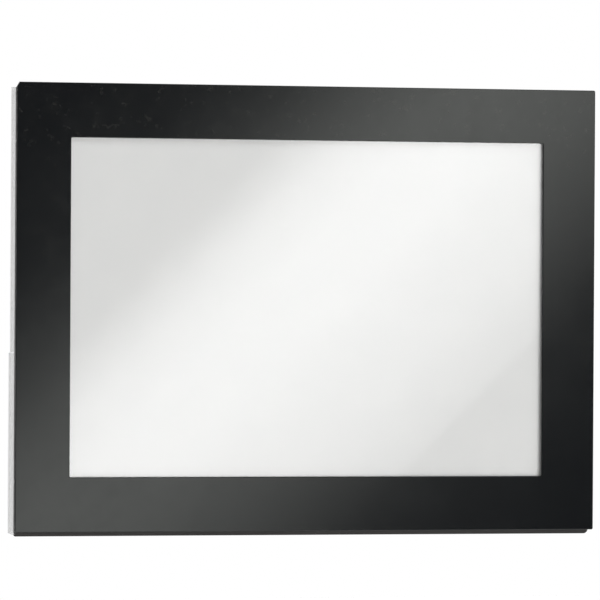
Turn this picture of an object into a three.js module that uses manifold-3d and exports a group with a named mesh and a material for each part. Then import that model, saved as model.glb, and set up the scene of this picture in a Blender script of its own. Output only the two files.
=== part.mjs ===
// A magnetic display frame for an A6 sheet, with its cover closed.
//
// Two flat laminates are joined along the left edge by a folded strip of clear film. The rear panel sticks
// to a wall, a door or a pane of glass with four strips of tape. The cover is a black border round a clear
// window. Each panel has a frame of flexible magnet strips, and the two frames pull together through the
// films and hold the sheet on show between them. The cover swings open like the front of a folder.
//
// Millimetres, +Z up. The origin is the middle of the rear panel on the wall plane, and the front of the
// frame faces -Y.

import * as THREE from "three";
import { mergeVertices } from "three/addons/utils/BufferGeometryUtils.js";
import Module from "manifold-3d";

const wasm = await Module();
wasm.setup();

// The sheet on show, A6 lying on its long side
const INSERT_WIDTH = 148;
const INSERT_HEIGHT = 105;
const INSERT_THICKNESS = 0.2;
const INSERT_PLAY = 0.15; // free space on either face of the sheet

// The border that frames the window
const BORDER_WIDTH = 16;
const WINDOW_LAP = 3; // how far the border covers each edge of the sheet
const CORNER_RADIUS = 0.5;
const CORNER_CLIP_WIDTH = 0.75; // slanted cut at the cover's corner above the hinge
const CORNER_CLIP_HEIGHT = 1.35;
const WINDOW_CORNER_RADIUS = 0.4;
const FACE_THICKNESS = 0.4;
const FACE_EDGE_RADIUS = 0.2; // rounding of the border's edges, on the front only

// The clear film of the window, the rear panel and the hinge
const FILM_THICKNESS = 0.25;
const FILM_INSET = 2; // from the edges of a sheet of film to the outer edges of its panel

// The flexible magnet strips
const MAGNET_THICKNESS = 0.7;
const MAGNET_EDGE_RADIUS = 0.15;
const MAGNET_INSET = 0.3; // from the edge of the window
const MAGNET_JOINT_GAP = 0.3; // where the end of one strip meets the side of the next
const DIE_WASTE = 2; // how far a strip reaches past its panel before the panel's outline is cut

// The strips of adhesive tape
const TAPE_WIDTH = 10;
const TAPE_THICKNESS = 0.8;
const TAPE_CORNER_RADIUS = 1;
const TAPE_JOINT_GAP = 1.5;

// The glue line between two layers of one panel
const BOND = 0.05;

// How far the cover reaches past the rear panel at the right, to get a finger behind it, and how far it
// stands above the rear panel
const FINGER_LIP = 1.0;
const COVER_RISE = 1.25;
const FREE_CORNER_RADIUS = 1.4; // the rear panel's corners at the right

// The hinge: two lengths of film, one above the other, each folded round the left edge
const HINGE_LEAF = 8; // width of the leaf that is glued into each panel
const HINGE_LEAF_GAP = 0.4; // from a leaf to the film that shares its layer
const FOLD_REACH_UPPER = 1.5; // how far the fold stands out past the left edge
const FOLD_REACH_LOWER = 1.85;
const HINGE_SPLIT_HEIGHT = -12; // height at which the two lengths meet
const HINGE_SPLIT_GAP = 0.06;
const HINGE_END_INSET = 0.3; // from the ends of a leaf to the ends of its panel
const FOLD_SLANT_REACH = 2; // the fold's lower end is cut on a slant that rises outwards
const FOLD_SLANT_RISE = 0.9;

// Fineness of the round stretches
const CORNER_SEGMENTS = 6;
const EDGE_SEGMENTS = 3;
const FOLD_SEGMENTS = 16;

// What follows from the driving sizes
const WINDOW_WIDTH = INSERT_WIDTH - 2 * WINDOW_LAP;
const WINDOW_HEIGHT = INSERT_HEIGHT - 2 * WINDOW_LAP;
const COVER_WIDTH = WINDOW_WIDTH + 2 * BORDER_WIDTH;
const PANEL_HEIGHT = WINDOW_HEIGHT + 2 * BORDER_WIDTH;
const REAR_WIDTH = COVER_WIDTH - FINGER_LIP;
const LEFT_EDGE = -REAR_WIDTH / 2;
const COVER_X = FINGER_LIP / 2; // middle of the cover
const MAGNET_WIDTH = BORDER_WIDTH - MAGNET_INSET + DIE_WASTE;
const TAPE_INSET = (BORDER_WIDTH - TAPE_WIDTH) / 2;

// The layers, counted from the wall towards the viewer
function layerOn(under, gap, thickness) {
  const back = under.front + gap;
  return { back, middle: back + thickness / 2, front: back + thickness };
}

const WALL = { front: 0 };
const TAPE_LAYER = layerOn(WALL, 0, TAPE_THICKNESS);
const REAR_MAGNET_LAYER = layerOn(TAPE_LAYER, BOND, MAGNET_THICKNESS);
const REAR_FILM_LAYER = layerOn(REAR_MAGNET_LAYER, BOND, FILM_THICKNESS);
const INSERT_LAYER = layerOn(REAR_FILM_LAYER, INSERT_PLAY, INSERT_THICKNESS);
const WINDOW_FILM_LAYER = layerOn(INSERT_LAYER, INSERT_PLAY, FILM_THICKNESS);
const COVER_MAGNET_LAYER = layerOn(WINDOW_FILM_LAYER, BOND, MAGNET_THICKNESS);
const FACE_LAYER = layerOn(COVER_MAGNET_LAYER, BOND, FACE_THICKNESS);

const blackFilm = new THREE.MeshStandardMaterial({ color: 0x1b1c1d, roughness: 0.42, metalness: 0 });
const magnetRubber = new THREE.MeshStandardMaterial({ color: 0x2e2a28, roughness: 0.8, metalness: 0 });
const tapeFoam = new THREE.MeshStandardMaterial({ color: 0xdcdad0, roughness: 0.6, metalness: 0 });
const whitePaper = new THREE.MeshStandardMaterial({ color: 0xf1f1ef, roughness: 0.75, metalness: 0 });
const clearFilm = new THREE.MeshStandardMaterial({
  color: 0xf2f5f5,
  roughness: 0.08,
  metalness: 0,
  transparent: true,
  opacity: 0.2,
});
const milkyFilm = new THREE.MeshStandardMaterial({
  color: 0xcfd1d0,
  roughness: 0.3,
  metalness: 0,
  transparent: true,
  opacity: 0.8,
});

// A rectangle with round corners about the origin, as a shape or as a hole in one
function roundedRectangle(width, height, radius, path = new THREE.Shape()) {
  const x = width / 2 - radius;
  const y = height / 2 - radius;
  const quarter = Math.PI / 2;
  path.absarc(x, y, radius, 0, quarter);
  path.absarc(-x, y, radius, quarter, 2 * quarter);
  path.absarc(-x, -y, radius, 2 * quarter, 3 * quarter);
  path.absarc(x, -y, radius, 3 * quarter, 4 * quarter);
  path.closePath();
  return path;
}

// The cover's outline about its middle: round corners, and the slanted cut at the top left
function coverOutline() {
  const x = COVER_WIDTH / 2;
  const y = PANEL_HEIGHT / 2;
  const quarter = Math.PI / 2;
  const outline = new THREE.Shape();
  outline.absarc(x - CORNER_RADIUS, y - CORNER_RADIUS, CORNER_RADIUS, 0, quarter);
  outline.lineTo(CORNER_CLIP_WIDTH - x, y);
  outline.lineTo(-x, y - CORNER_CLIP_HEIGHT);
  outline.absarc(CORNER_RADIUS - x, CORNER_RADIUS - y, CORNER_RADIUS, 2 * quarter, 3 * quarter);
  outline.absarc(x - CORNER_RADIUS, CORNER_RADIUS - y, CORNER_RADIUS, 3 * quarter, 4 * quarter);
  outline.closePath();
  return outline;
}

// The rear panel's outline about its middle: its free corners are rounder than those at the hinge
function rearOutline() {
  const x = REAR_WIDTH / 2;
  const y = PANEL_HEIGHT / 2;
  const free = FREE_CORNER_RADIUS;
  const quarter = Math.PI / 2;
  const outline = new THREE.Shape();
  outline.absarc(x - free, y - free, free, 0, quarter);
  outline.absarc(CORNER_RADIUS - x, y - CORNER_RADIUS, CORNER_RADIUS, quarter, 2 * quarter);
  outline.absarc(CORNER_RADIUS - x, CORNER_RADIUS - y, CORNER_RADIUS, 2 * quarter, 3 * quarter);
  outline.absarc(x - free, free - y, free, 3 * quarter, 4 * quarter);
  outline.closePath();
  return outline;
}

// A flat sheet of one thickness, with its back at z = 0
function flatSheet(outline, thickness) {
  return new THREE.ExtrudeGeometry(outline, {
    depth: thickness,
    bevelEnabled: false,
    curveSegments: CORNER_SEGMENTS,
  });
}

// A closed geometry as a solid that can be cut
function solidOf(geometry) {
  const bare = geometry.clone();
  bare.deleteAttribute("normal");
  bare.deleteAttribute("uv");
  const merged = mergeVertices(bare);
  return new wasm.Manifold(
    new wasm.Mesh({
      numProp: 3,
      vertProperties: merged.attributes.position.array,
      triVerts: new Uint32Array(merged.index.array),
    }),
  );
}

// The geometry of a cut solid
function geometryOf(solid) {
  const mesh = solid.getMesh();
  const geometry = new THREE.BufferGeometry();
  geometry.setAttribute("position", new THREE.BufferAttribute(mesh.vertProperties, 3));
  geometry.setIndex(new THREE.BufferAttribute(mesh.triVerts, 1));
  geometry.computeVertexNormals();
  return geometry;
}

// The black border: its edges are rounded on both faces at first, and the back is then cut off flat
function faceBorder() {
  const outline = coverOutline();
  outline.holes.push(roundedRectangle(WINDOW_WIDTH, WINDOW_HEIGHT, WINDOW_CORNER_RADIUS, new THREE.Path()));
  const rounded = new THREE.ExtrudeGeometry(outline, {
    depth: FACE_THICKNESS - FACE_EDGE_RADIUS,
    bevelThickness: FACE_EDGE_RADIUS,
    bevelSize: FACE_EDGE_RADIUS,
    bevelOffset: -FACE_EDGE_RADIUS,
    bevelSegments: EDGE_SEGMENTS,
    curveSegments: CORNER_SEGMENTS,
  });
  const behind = new THREE.BoxGeometry(2 * COVER_WIDTH, 2 * PANEL_HEIGHT, 2 * FACE_THICKNESS);
  behind.translate(0, 0, -FACE_THICKNESS);
  return geometryOf(solidOf(rounded).subtract(solidOf(behind)));
}

// The clear sheet of one panel. It stops at the hinge leaf, which shares its layer.
function panelFilm(panelWidth) {
  const cutBack = HINGE_LEAF + HINGE_LEAF_GAP;
  const width = panelWidth - cutBack - FILM_INSET;
  const outline = roundedRectangle(width, PANEL_HEIGHT - 2 * FILM_INSET, CORNER_RADIUS);
  const film = flatSheet(outline, FILM_THICKNESS);
  film.translate((cutBack - FILM_INSET) / 2, 0, 0);
  return film;
}

// A length of extruded magnet strip, upright, with its back at z = 0
function magnetStrip(length) {
  const profile = roundedRectangle(MAGNET_WIDTH, MAGNET_THICKNESS, MAGNET_EDGE_RADIUS);
  const strip = new THREE.ExtrudeGeometry(profile, {
    depth: length,
    bevelEnabled: false,
    curveSegments: EDGE_SEGMENTS,
  });
  strip.translate(0, MAGNET_THICKNESS / 2, -length / 2);
  strip.rotateX(Math.PI / 2);
  return strip;
}

// A length of tape, upright, with its back at z = 0
function tapeStrip(length) {
  return flatSheet(roundedRectangle(TAPE_WIDTH, length, TAPE_CORNER_RADIUS), TAPE_THICKNESS);
}

// A named piece, placed in its panel
function piece(name, geometry, material, x, y, z) {
  const mesh = new THREE.Mesh(geometry, material.clone());
  mesh.name = name;
  mesh.position.set(x, y, z);
  return mesh;
}

// Four strips that lie round the window. The top and bottom ones run right across, and the side ones fit
// between them.
function stripsRoundWindow({ prefix, strip, stripWidth, jointGap, material, width, height, z }) {
  const sideLength = height - 2 * stripWidth - 2 * jointGap;
  const sideX = (width - stripWidth) / 2;
  const levelY = (height - stripWidth) / 2;
  const level = () => strip(width).rotateZ(Math.PI / 2);
  const side = () => strip(sideLength);
  return [
    piece(`${prefix}_top`, level(), material, 0, levelY, z),
    piece(`${prefix}_bottom`, level(), material, 0, -levelY, z),
    piece(`${prefix}_left`, side(), material, -sideX, 0, z),
    piece(`${prefix}_right`, side(), material, sideX, 0, z),
  ];
}

// The magnet frame of one panel, cut off flush with the panel's outline
function magnetFrame(prefix, panelWidth, outline, layer) {
  const strips = stripsRoundWindow({
    prefix,
    strip: magnetStrip,
    stripWidth: MAGNET_WIDTH,
    jointGap: MAGNET_JOINT_GAP,
    material: magnetRubber,
    width: panelWidth + 2 * DIE_WASTE,
    height: PANEL_HEIGHT + 2 * DIE_WASTE,
    z: layer.back,
  });
  for (const strip of strips) {
    const die = flatSheet(outline, 2 * MAGNET_THICKNESS);
    die.translate(-strip.position.x, -strip.position.y, -MAGNET_THICKNESS / 2);
    strip.geometry = geometryOf(solidOf(strip.geometry).intersect(solidOf(die)));
  }
  return strips;
}

// The hinge film between two heights. Its section is a leaf in the rear panel's film layer, a half-round
// fold outside the left edge, and a leaf in the cover's film layer.
function foldedFilm(reach, bottom, top) {
  const half = FILM_THICKNESS / 2;
  const rear = REAR_FILM_LAYER;
  const front = WINDOW_FILM_LAYER;
  const foldRadius = (front.middle - rear.middle) / 2;
  const foldX = LEFT_EDGE - reach + foldRadius + half;
  const leafEnd = LEFT_EDGE + HINGE_LEAF;
  const quarter = Math.PI / 2;
  const section = new THREE.Shape();
  section.moveTo(leafEnd, rear.back);
  section.lineTo(leafEnd, rear.front);
  section.absarc(foldX, INSERT_LAYER.middle, foldRadius - half, 3 * quarter, quarter, true);
  section.lineTo(leafEnd, front.back);
  section.lineTo(leafEnd, front.front);
  section.absarc(foldX, INSERT_LAYER.middle, foldRadius + half, quarter, 3 * quarter, false);
  section.closePath();
  const film = new THREE.ExtrudeGeometry(section, {
    depth: top - bottom,
    bevelEnabled: false,
    curveSegments: FOLD_SEGMENTS,
  });
  film.rotateX(Math.PI / 2);
  film.translate(0, top, 0);
  return film;
}

// What is cut off the fold's lower end, outside the left edge
function foldSlant(end) {
  const outside = LEFT_EDGE - FOLD_SLANT_REACH;
  const wedge = new THREE.Shape();
  wedge.moveTo(LEFT_EDGE, end);
  wedge.lineTo(LEFT_EDGE, end - FOLD_SLANT_RISE);
  wedge.lineTo(outside, end - FOLD_SLANT_RISE);
  wedge.lineTo(outside, end + FOLD_SLANT_RISE);
  wedge.closePath();
  return new THREE.ExtrudeGeometry(wedge, { depth: FACE_LAYER.front, bevelEnabled: false });
}

// What is cut off the leaves at the bottom, so that they end behind the cover
function leafFeet(end) {
  const coverFoot = COVER_RISE - PANEL_HEIGHT / 2 + HINGE_END_INSET;
  const height = 2 * (coverFoot - end);
  const feet = new THREE.BoxGeometry(2 * HINGE_LEAF, height, 2 * FACE_LAYER.front);
  feet.translate(LEFT_EDGE + HINGE_LEAF, coverFoot - height / 2, 0);
  return feet;
}

// The rear panel: tape, magnets and film
function rearPanel() {
  const panel = new THREE.Group();
  panel.add(
    ...stripsRoundWindow({
      prefix: "tape",
      strip: tapeStrip,
      stripWidth: TAPE_WIDTH,
      jointGap: TAPE_JOINT_GAP,
      material: tapeFoam,
      width: REAR_WIDTH - 2 * TAPE_INSET,
      height: PANEL_HEIGHT - 2 * TAPE_INSET,
      z: TAPE_LAYER.back,
    }),
    ...magnetFrame("rear_magnet", REAR_WIDTH, rearOutline(), REAR_MAGNET_LAYER),
    piece("rear_film", panelFilm(REAR_WIDTH), clearFilm, 0, 0, REAR_FILM_LAYER.back),
  );
  return panel;
}

// The hinge: an upper and a lower length of film over the height of the rear panel
function hinge() {
  const strips = new THREE.Group();
  const head = PANEL_HEIGHT / 2 - HINGE_END_INSET;
  const foot = -head;
  const upperFoot = HINGE_SPLIT_HEIGHT + HINGE_SPLIT_GAP / 2;
  const lowerHead = HINGE_SPLIT_HEIGHT - HINGE_SPLIT_GAP / 2;
  const upper = foldedFilm(FOLD_REACH_UPPER, upperFoot, head);
  const lower = solidOf(foldedFilm(FOLD_REACH_LOWER, foot, lowerHead))
    .subtract(solidOf(foldSlant(foot)))
    .subtract(solidOf(leafFeet(foot)));
  strips.add(
    piece("hinge_film_upper", upper, milkyFilm, 0, 0, 0),
    piece("hinge_film_lower", geometryOf(lower), milkyFilm, 0, 0, 0),
  );
  return strips;
}

// The sheet on show, in the middle of the window
function insert() {
  const sheet = new THREE.BoxGeometry(INSERT_WIDTH, INSERT_HEIGHT, INSERT_THICKNESS);
  return piece("insert_sheet", sheet, whitePaper, COVER_X, COVER_RISE, INSERT_LAYER.middle);
}

// The cover: window film, magnets and the black border that shows
function cover() {
  const panel = new THREE.Group();
  panel.position.set(COVER_X, COVER_RISE, 0);
  panel.add(
    piece("window_film", panelFilm(COVER_WIDTH), clearFilm, 0, 0, WINDOW_FILM_LAYER.back),
    ...magnetFrame("cover_magnet", COVER_WIDTH, coverOutline(), COVER_MAGNET_LAYER),
    piece("face_border", faceBorder(), blackFilm, 0, 0, FACE_LAYER.back),
  );
  return panel;
}

// The panels are modelled lying on their backs and are then stood up against the wall
const displayFrame = new THREE.Group();
displayFrame.rotation.x = Math.PI / 2;
displayFrame.add(rearPanel(), hinge(), insert(), cover());

export default displayFrame;
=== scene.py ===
import math

import bpy
from mathutils import Matrix, Vector


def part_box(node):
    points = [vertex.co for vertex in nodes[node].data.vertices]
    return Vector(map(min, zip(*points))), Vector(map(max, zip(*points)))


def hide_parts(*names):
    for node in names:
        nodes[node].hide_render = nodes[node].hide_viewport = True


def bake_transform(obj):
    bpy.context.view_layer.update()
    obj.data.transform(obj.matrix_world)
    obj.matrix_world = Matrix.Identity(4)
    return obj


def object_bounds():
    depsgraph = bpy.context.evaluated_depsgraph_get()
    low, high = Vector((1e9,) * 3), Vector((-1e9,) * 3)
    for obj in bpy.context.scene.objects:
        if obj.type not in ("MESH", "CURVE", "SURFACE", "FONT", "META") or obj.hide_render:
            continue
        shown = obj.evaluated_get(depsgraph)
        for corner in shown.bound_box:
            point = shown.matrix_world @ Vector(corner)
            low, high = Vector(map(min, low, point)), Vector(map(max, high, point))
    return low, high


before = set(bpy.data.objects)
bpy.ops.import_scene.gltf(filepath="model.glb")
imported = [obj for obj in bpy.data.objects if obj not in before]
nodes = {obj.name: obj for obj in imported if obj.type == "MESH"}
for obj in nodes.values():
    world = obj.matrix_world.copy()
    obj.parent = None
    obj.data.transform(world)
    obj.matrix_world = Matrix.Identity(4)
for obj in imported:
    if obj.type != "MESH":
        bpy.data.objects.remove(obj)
cad_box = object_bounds()


# Four strips of double-sided foam tape hold the rear panel to a wall or a pane of glass. The foam is an
# off-white closed-cell plastic with a thin coat of clear glue, cut to length and rolled onto the magnets.


class Value:
    """One output of a finish's nodes. Arithmetic on it adds Math nodes."""

    def __init__(self, finish, socket):
        self.finish = finish
        self.socket = socket

    def maths(self, operation, first, second):
        return self.finish.node("Math", {"operation": operation}, {0: first, 1: second})

    def __add__(self, other):
        return self.maths("ADD", self, other)

    def __radd__(self, other):
        return self.maths("ADD", other, self)

    def __sub__(self, other):
        return self.maths("SUBTRACT", self, other)

    def __rsub__(self, other):
        return self.maths("SUBTRACT", other, self)

    def __mul__(self, other):
        return self.maths("MULTIPLY", self, other)

    def __rmul__(self, other):
        return self.maths("MULTIPLY", other, self)

    def __pow__(self, other):
        return self.maths("POWER", self, other)


class Finish:
    """The nodes of a material or of the world, and the one method that adds a node."""

    def __init__(self, owner):
        owner.use_nodes = True
        self.owner = owner
        self.tree = owner.node_tree
        self.tree.nodes.clear()

    def node(self, kind, settings=None, sockets=None, output=0):
        made = self.tree.nodes.new("ShaderNode" + kind)
        for name, setting in (settings or {}).items():
            setattr(made, name, setting)
        for name, given in (sockets or {}).items():
            if isinstance(given, Value):
                self.tree.links.new(given.socket, made.inputs[name])
            else:
                made.inputs[name].default_value = given
        return Value(self, made.outputs[output]) if made.outputs else None

    def place(self):
        return self.node("TexCoord", output="Object")

    def part(self, vector, axis):
        return self.node("SeparateXYZ", sockets={"Vector": vector}, output=axis)

    def cut_edge(self):
        """1 on the edges of a layer, 0 on its front and back."""
        facing = self.part(self.node("TexCoord", output="Normal"), "Y")
        return 1 - self.ramp(facing * facing, low=0.1, high=0.7)

    def noise(self, place, scale, detail=2.0, roughness=0.5):
        return self.node(
            "TexNoise",
            sockets={"Vector": place, "Scale": scale, "Detail": detail, "Roughness": roughness},
        )

    def stretched(self, place, scale):
        return self.node("Mapping", sockets={"Vector": place, "Scale": scale})

    def blend(self, share, first, second):
        # The mix node's colours are its inputs 6 and 7, and the mixed colour is its output 2.
        sockets = {0: share, 6: first, 7: second}
        return self.node("Mix", {"data_type": "RGBA"}, sockets, output=2)

    def ramp(self, value, low, high):
        return self.node("MapRange", sockets={"Value": value, "From Min": low, "From Max": high})

    def bump(self, height, depth, strength):
        return self.node("Bump", sockets={"Height": height, "Distance": depth, "Strength": strength})

    def coat(self, shader):
        self.node("OutputMaterial", sockets={"Surface": shader})
        return self.owner


def finish_named(name):
    return Finish(bpy.data.materials.new(name))


def dress(names, material):
    for name in names:
        nodes[name].data.materials.clear()
        nodes[name].data.materials.append(material)


FOAM_SHADE = (0.70, 0.68, 0.60, 1)
FOAM_LIGHT = (0.78, 0.77, 0.71, 1)
# The pit colour is painted shade inside the open cells of the cut edges.
FOAM_PIT_SHADE = (0.34, 0.32, 0.27, 1)
FOAM_CELLS_PER_METRE = 3200.0
FOAM_DENT_DEPTH = 0.00006

foam = finish_named("foam_tape")
place = foam.place()
cells = foam.node("TexVoronoi", sockets={"Vector": place, "Scale": FOAM_CELLS_PER_METRE}, output="Distance")
smears = foam.noise(place, scale=90.0, detail=4.0)
dents = foam.noise(place, scale=260.0)
# Open cells on the cut edges are sunk by the bump and painted darker: painted shade in the pits.
shaded_pits = foam.cut_edge() * (1 - foam.ramp(cells, low=0.1, high=0.45))
foam_face = foam.blend(foam.ramp(smears, low=0.35, high=0.7), FOAM_SHADE, FOAM_LIGHT)
foam_relief = dents + cells * 0.15 - shaded_pits * 0.6
foam_shader = foam.node(
    "BsdfPrincipled",
    sockets={
        "Base Color": foam.blend(shaded_pits * 0.6, foam_face, FOAM_PIT_SHADE),
        "Roughness": 0.42 + smears * 0.3,
        "Normal": foam.bump(foam_relief, depth=FOAM_DENT_DEPTH, strength=0.6),
    },
)
dress(["tape_top", "tape_bottom", "tape_left", "tape_right"], foam.coat(foam_shader))


# Eight lengths of flexible magnet: ferrite powder in a grey-black rubber, extruded as a flat ribbon. Four are
# glued round the window in each panel and cut flush with it. The die leaves fine lines along the ribbon.

RUBBER_SHADE = (0.0245, 0.0232, 0.0225, 1)
RUBBER_LIGHT = (0.052, 0.0495, 0.0475, 1)
RUBBER_CUT = (0.101, 0.0975, 0.0945, 1)
RUBBER_LINE_DEPTH = 0.00003
LINES_ALONG = 60.0
LINES_ACROSS = 3600.0
LINES_THROUGH = 1500.0


def magnet_finish(name, lines_per_metre):
    rubber = finish_named(name)
    place = rubber.place()
    lines = rubber.noise(rubber.stretched(place, lines_per_metre), scale=1.0, detail=3.0)
    powder = rubber.noise(place, scale=5200.0)
    patches = rubber.noise(place, scale=70.0, detail=3.0)
    shade = 0.45 * lines + 0.35 * powder + 0.2 * patches
    face = rubber.blend(rubber.ramp(shade, low=0.3, high=0.72), RUBBER_SHADE, RUBBER_LIGHT)
    shader = rubber.node(
        "BsdfPrincipled",
        sockets={
            "Base Color": rubber.blend(rubber.cut_edge() * (0.3 + powder * 0.5), face, RUBBER_CUT),
            "Roughness": 0.62 + patches * 0.2,
            "Normal": rubber.bump(lines + powder * 0.4, depth=RUBBER_LINE_DEPTH, strength=0.5),
        },
    )
    return rubber.coat(shader)


level_lines = magnet_finish("magnet_rubber_level", (LINES_ALONG, LINES_THROUGH, LINES_ACROSS))
upright_lines = magnet_finish("magnet_rubber_upright", (LINES_ACROSS, LINES_THROUGH, LINES_ALONG))
for panel in ("rear_magnet", "cover_magnet"):
    dress([f"{panel}_top", f"{panel}_bottom"], level_lines)
    dress([f"{panel}_left", f"{panel}_right"], upright_lines)


# Two sheets of clear hard plastic film, one in each panel, glued to the magnets. The film is calendered
# glossy on both faces, so it mirrors the light and lies very slightly wavy between its glued edges.

WHITE = (1, 1, 1, 1)
FILM_TINT = (0.988, 0.988, 0.986, 1)
FILM_CUT = (0.80, 0.82, 0.82, 1)
FILM_WAVES_PER_METRE = (9.0, 9.0, 14.0)
FILM_SCUFFS_PER_METRE = (260.0, 260.0, 40.0)
FILM_WAVE_DEPTH = 0.0002
MIRRORED_HEAD_ON = 0.04

clear = finish_named("clear_film")
place = clear.place()
waves = clear.noise(clear.stretched(place, FILM_WAVES_PER_METRE), scale=1.0, detail=1.0)
ripple = clear.noise(place, scale=160.0)
scratches = clear.noise(clear.stretched(place, FILM_SCUFFS_PER_METRE), scale=1.0, detail=5.0)
scuffs = clear.ramp(scratches, low=0.6, high=0.85)
film_gloss = clear.node(
    "BsdfGlossy",
    sockets={
        "Color": WHITE,
        "Roughness": 0.035 + scuffs * 0.04,
        "Normal": clear.bump(waves + ripple * 0.02, depth=FILM_WAVE_DEPTH, strength=0.12),
    },
)
film_body = clear.node("BsdfTransparent", sockets={"Color": FILM_TINT})
film_slant = clear.node("LayerWeight", sockets={"Blend": 0.5}, output="Facing")
film_mirror = MIRRORED_HEAD_ON + (1 - MIRRORED_HEAD_ON) * film_slant**5
film_face = clear.node("MixShader", sockets={0: film_mirror, 1: film_body, 2: film_gloss})
film_edge = clear.node("BsdfPrincipled", sockets={"Base Color": FILM_CUT, "Roughness": 0.35 + ripple * 0.3})
film_shader = clear.node("MixShader", sockets={0: clear.cut_edge() * 0.55, 1: film_face, 2: film_edge})
dress(["rear_film", "window_film"], clear.coat(film_shader))


# The sheet on show is a plain white A6 sheet of office paper, laid loose between the two films.
# Its face has the faint cloudiness of pressed pulp.

PAPER_SHADE = (0.795, 0.798, 0.795, 1)
PAPER_LIGHT = (0.825, 0.826, 0.82, 1)
FIBRES_PER_METRE = (2600.0, 2600.0, 900.0)
FIBRE_DEPTH = 0.00002

paper = finish_named("white_paper")
place = paper.place()
clouds = paper.noise(place, scale=130.0, detail=3.0)
fibres = paper.noise(paper.stretched(place, FIBRES_PER_METRE), scale=1.0, detail=3.0)
pulp = 0.6 * clouds + 0.4 * fibres
paper_shader = paper.node(
    "BsdfPrincipled",
    sockets={
        "Base Color": paper.blend(paper.ramp(pulp, low=0.3, high=0.7), PAPER_SHADE, PAPER_LIGHT),
        "Roughness": 0.82 + fibres * 0.1,
        "Specular IOR Level": 0.25,
        "Normal": paper.bump(fibres + clouds * 0.5, depth=FIBRE_DEPTH, strength=0.35),
    },
)
dress(["insert_sheet"], paper.coat(paper_shader))


# The face border is one ring, die-cut from black plastic film with a satin embossed face, and glued over the
# cover's magnets. Its cut edge is a little greyer than its face, and a few specks of dust lie on it.

SATIN_BLACK = (0.0054, 0.0061, 0.0072, 1)
SATIN_DUST = (0.018, 0.018, 0.017, 1)
SATIN_CUT = (0.024, 0.024, 0.025, 1)
SATIN_SHEEN = (0.97, 1.0, 0.95, 1)
GRAIN_DEPTH = 0.000004
LEAN_PER_METRE = 2300.0  # grain depths by which the glued face stands out towards its upper left
DUST_STARTS = -0.02
DUST_FULL = 0.055

satin = finish_named("satin_black_film")
place = satin.place()
grain = satin.noise(place, scale=3600.0)
mottle = satin.noise(place, scale=55.0, detail=3.0)
across = satin.part(place, "X")
upward = satin.part(place, "Z")
upper = satin.ramp(upward, low=DUST_STARTS, high=DUST_FULL)
specks = satin.ramp(satin.noise(place, scale=620.0), low=0.62, high=0.70)
clumps = satin.ramp(satin.noise(place, scale=230.0, detail=4.0, roughness=0.65), low=0.48, high=0.68)
dust = (specks * 0.55 + clumps * 0.16) * upper
satin_face = satin.blend(dust, SATIN_BLACK, SATIN_DUST)
satin_relief = grain + (upward - across) * LEAN_PER_METRE
satin_shader = satin.node(
    "BsdfPrincipled",
    sockets={
        "Base Color": satin.blend(satin.cut_edge() * 0.8, satin_face, SATIN_CUT),
        "Roughness": 0.098 + mottle * 0.05 + grain * 0.03 + clumps * 0.016,
        "Specular IOR Level": 0.445,
        "Specular Tint": SATIN_SHEEN,
        "Normal": satin.bump(satin_relief, depth=GRAIN_DEPTH, strength=0.4),
    },
)
dress(["face_border"], satin.coat(satin_shader))


# The hinge is a strip of milky film in two lengths, folded round the left edge, with a leaf glued into each
# panel. Folding has whitened the film along the bend. The film bends between the panels as the cover opens;
# here each length is a fixed copy in its resting fold.

MILKY = (0.745, 0.745, 0.742, 1)
MILKY_WHITENED = (0.80, 0.80, 0.798, 1)
MILKY_TINT = (0.970, 0.970, 0.970, 1)
DRAWN_LINES_PER_METRE = (900.0, 900.0, 12.0)
DRAWN_LINE_DEPTH = 0.00003
WHITENED_OUTSIDE = -0.0882
WHITENED_INSIDE = -0.0868

milky = finish_named("milky_hinge_film")
place = milky.place()
drawn = milky.noise(milky.stretched(place, DRAWN_LINES_PER_METRE), scale=1.0)
haze = milky.noise(place, scale=150.0)
whitened = 1 - milky.ramp(milky.part(place, "X"), low=WHITENED_OUTSIDE, high=WHITENED_INSIDE)
milk_shader = milky.node(
    "BsdfPrincipled",
    sockets={
        "Base Color": milky.blend(whitened * 0.6 + drawn * 0.2, MILKY, MILKY_WHITENED),
        "Roughness": 0.28 + haze * 0.15,
        "Normal": milky.bump(drawn, depth=DRAWN_LINE_DEPTH, strength=0.25),
    },
)
milk_window = milky.node("BsdfTransparent", sockets={"Color": MILKY_TINT})
milk_share = 0.16 + whitened * 0.08
hinge_shader = milky.node("MixShader", sockets={0: milk_share, 1: milk_window, 2: milk_shader})
milky_film = milky.coat(hinge_shader)

for name in ("hinge_film_upper", "hinge_film_lower"):
    strip = nodes[name].copy()
    strip.data = nodes[name].data.copy()
    strip.name = name + "_folded"
    strip.parent = None
    for key in [key for key in strip.keys() if key.startswith("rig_")]:
        del strip[key]
    bpy.context.scene.collection.objects.link(strip)
    strip.data.materials.clear()
    strip.data.materials.append(milky_film)
    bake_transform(strip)
    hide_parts(name)


# A white sweep: a pale floor well below the frame, which hangs as on a wall. The floor glows a little for the
# camera, more towards its far end, so that it is white all over but keeps the frame's soft shadow.


def stage_sheet(name, corners):
    data = bpy.data.meshes.new(name)
    data.from_pydata(corners, [], [(0, 1, 2, 3)])
    sheet = bpy.data.objects.new(name, data)
    bpy.context.scene.collection.objects.link(sheet)
    return sheet


def ray(finish, kind):
    return finish.node("LightPath", output=f"Is {kind} Ray")


FLOOR_DROP = 0.3
FLOOR_SIDE = 4.0
FLOOR_FRONT = -1.2
FLOOR_BACK = 4.0
FLOOR_SHOWN = (0.8, 0.8, 0.8, 1)
FLOOR_UNSEEN = (0.4, 0.4, 0.4, 1)
GLOW_NEAR = (0.5, 0.5, 0.5, 1)
GLOW_FAR = (0.64, 0.64, 0.64, 1)

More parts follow.
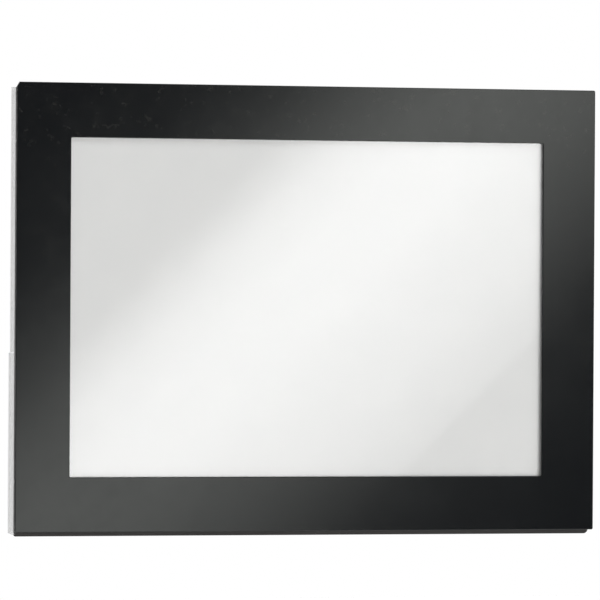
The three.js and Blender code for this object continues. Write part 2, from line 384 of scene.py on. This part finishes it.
floor_z = cad_box[0][2] - FLOOR_DROP
floor = stage_sheet(
    "floor",
    [
        (-FLOOR_SIDE, FLOOR_FRONT, floor_z),
        (FLOOR_SIDE, FLOOR_FRONT, floor_z),
        (FLOOR_SIDE, FLOOR_BACK, floor_z),
        (-FLOOR_SIDE, FLOOR_BACK, floor_z),
    ],
)
sweep = finish_named("white_sweep")
matt = sweep.node("BsdfDiffuse", sockets={"Color": FLOOR_SHOWN})
matt_unseen = sweep.node("BsdfDiffuse", sockets={"Color": FLOOR_UNSEEN})
far = sweep.ramp(sweep.part(sweep.place(), "Y"), low=0.3, high=3.6)
glow = sweep.node("Emission", sockets={"Color": sweep.blend(far, GLOW_NEAR, GLOW_FAR), "Strength": 1.0})
glowing = sweep.node("AddShader", sockets={0: glow, 1: matt})
shown = ray(sweep, "Camera") + ray(sweep, "Glossy") + ray(sweep, "Transmission")
sweep_shader = sweep.node("MixShader", sockets={0: shown, 1: matt_unseen, 2: glowing})
floor.data.materials.append(sweep.coat(sweep_shader))


# The studio is white all round for the camera. Mirrors see it dim in front of the frame and white behind and
# overhead. Its own light falls on the frame from behind, and only faintly from in front.

ROOM_BEHIND = 0.9
ROOM_IN_FRONT = 0.145
ROOM_MIRRORED = 0.042

world = bpy.data.worlds.new("studio")
bpy.context.scene.world = world
world.cycles.sampling_method = "NONE"
room = Finish(world)
white, dim, soft, faint = (
    room.node("Background", sockets={"Color": WHITE, "Strength": strength})
    for strength in (1.0, ROOM_MIRRORED, ROOM_BEHIND, ROOM_IN_FRONT)
)
way = room.node("TexCoord", output="Generated")
behind = room.ramp(room.part(way, "Y"), low=-0.1, high=0.4)
overhead = room.ramp(room.part(way, "Z"), low=0.3, high=0.8)
bright = 1 - (1 - behind) * (1 - overhead)
reflected = room.node("MixShader", sockets={0: bright, 1: dim, 2: white})
falling = room.node("MixShader", sockets={0: behind, 1: faint, 2: soft})
unseen = room.node("MixShader", sockets={0: ray(room, "Glossy"), 1: falling, 2: reflected})
shown = ray(room, "Camera") + ray(room, "Transmission")
around = room.node("MixShader", sockets={0: shown, 1: unseen, 2: white})
room.node("OutputWorld", sockets={"Surface": around})


# Two soft lamps light the frame: a square key light from the upper right, and a broad lamp in front of it, a
# little to the right and low down. The broad lamp is not mirrored, so the black border stays black.

for name, radiance, width, height, stand, mirrored in (
    ("key", 4.9, 1.4, 1.4, Vector((2.2, -2.0, 2.2)), True),
    ("front", 13.5, 2.27, 0.84, Vector((0.7, -2.8, -0.28)), False),
):
    light_data = bpy.data.lights.new(name, "AREA")
    light_data.shape = "RECTANGLE"
    light_data.size = width
    light_data.size_y = height
    light_data.energy = radiance * math.pi * width * height
    light = bpy.data.objects.new(name, light_data)
    light.matrix_world = Matrix.Translation(stand) @ stand.to_track_quat("Z", "Y").to_matrix().to_4x4()
    light.visible_camera = False
    light.visible_glossy = mirrored
    bpy.context.scene.collection.objects.link(light)


# A strip light on a slant in front of the frame makes the sheen on border and window. It is a diffuser sheet,
# brightest along its middle and a little brighter towards its upper end.

STRIP_NEAR = 0.076
STRIP_FAR = 0.250
STRIP_STEPS = (  # across the strip: where a step of brightness starts and ends, and its height
    (0.076, 0.104, 0.74),
    (0.104, 0.130, 0.26),
    (0.159, 0.183, -0.18),
    (0.183, 0.212, -0.18),
    (0.212, 0.247, -0.38),
)
STRIP_HALF_LENGTH = 0.6
STRIP_SHIFT = 0.145
STRIP_DISTANCE = 1.0
STRIP_RADIANCE = 4.08
STRIP_SHARE = 0.82
STRIP_RISE = 0.33

strip_light = stage_sheet(
    "strip_light",
    [
        (STRIP_NEAR, STRIP_HALF_LENGTH, 0),
        (STRIP_FAR, STRIP_HALF_LENGTH, 0),
        (STRIP_FAR, -STRIP_HALF_LENGTH, 0),
        (STRIP_NEAR, -STRIP_HALF_LENGTH, 0),
    ],
)
strip_across = Vector((1, 0, -1)).normalized()
strip_along = Vector((1, 0, 1)).normalized()
strip_axes = Matrix((strip_across, strip_along, strip_across.cross(strip_along))).transposed()
strip_middle = strip_along * STRIP_SHIFT + Vector((0, -STRIP_DISTANCE, 0))
strip_light.matrix_world = Matrix.Translation(strip_middle) @ strip_axes.to_4x4()
strip_light.visible_camera = False
lamp = finish_named("strip_light")
place = lamp.place()
lamp_across = lamp.part(place, "X")
lamp_height = lamp.part(place, "Y") - lamp_across
lamp_profile = sum(step * lamp.ramp(lamp_across, low=start, high=end) for start, end, step in STRIP_STEPS)
lamp_level = lamp_profile * (STRIP_SHARE + STRIP_RISE * lamp_height)
lamp_colour = lamp.blend(lamp_level, (0, 0, 0, 1), WHITE)
strip_shader = lamp.node("Emission", sockets={"Color": lamp_colour, "Strength": STRIP_RADIANCE})
strip_light.data.materials.append(lamp.coat(strip_shader))


# The camera stands a little to the left of the frame's middle, level with it, with a long lens.
# It is turned and shifted by the small amounts at which the outline and the window fit best together.

AZIMUTH = math.radians(-11.93)
ELEVATION = math.radians(0.08)
ROLL = math.radians(0.33)
DISTANCE = 1.3
SENSOR_WIDTH = 36.0
PIXELS_PER_METRE = 3396.6
FRAME_PIXELS = 600
OFFSET_RIGHT = -0.00268
OFFSET_UP = 0.00253

face_low, face_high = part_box("face_border")
face_middle = Vector(((face_low.x + face_high.x) / 2, face_low.y, (face_low.z + face_high.z) / 2))
back = Vector(
    (
        math.sin(AZIMUTH) * math.cos(ELEVATION),
        -math.cos(AZIMUTH) * math.cos(ELEVATION),
        math.sin(ELEVATION),
    )
)
level_right = Vector((0, 0, 1)).cross(back).normalized()
level_up = back.cross(level_right)
right = math.cos(ROLL) * level_right + math.sin(ROLL) * level_up
up = math.cos(ROLL) * level_up - math.sin(ROLL) * level_right
camera_data = bpy.data.cameras.new("camera")
camera_data.sensor_width = SENSOR_WIDTH
camera_data.lens = PIXELS_PER_METRE * DISTANCE * SENSOR_WIDTH / FRAME_PIXELS
camera = bpy.data.objects.new("camera", camera_data)
bpy.context.scene.collection.objects.link(camera)
eye = face_middle + back * DISTANCE + right * OFFSET_RIGHT + up * OFFSET_UP
camera.matrix_world = Matrix.Translation(eye) @ Matrix((right, up, back)).transposed().to_4x4()
bpy.context.scene.camera = camera
bpy.context.scene.view_settings.view_transform = "Standard"
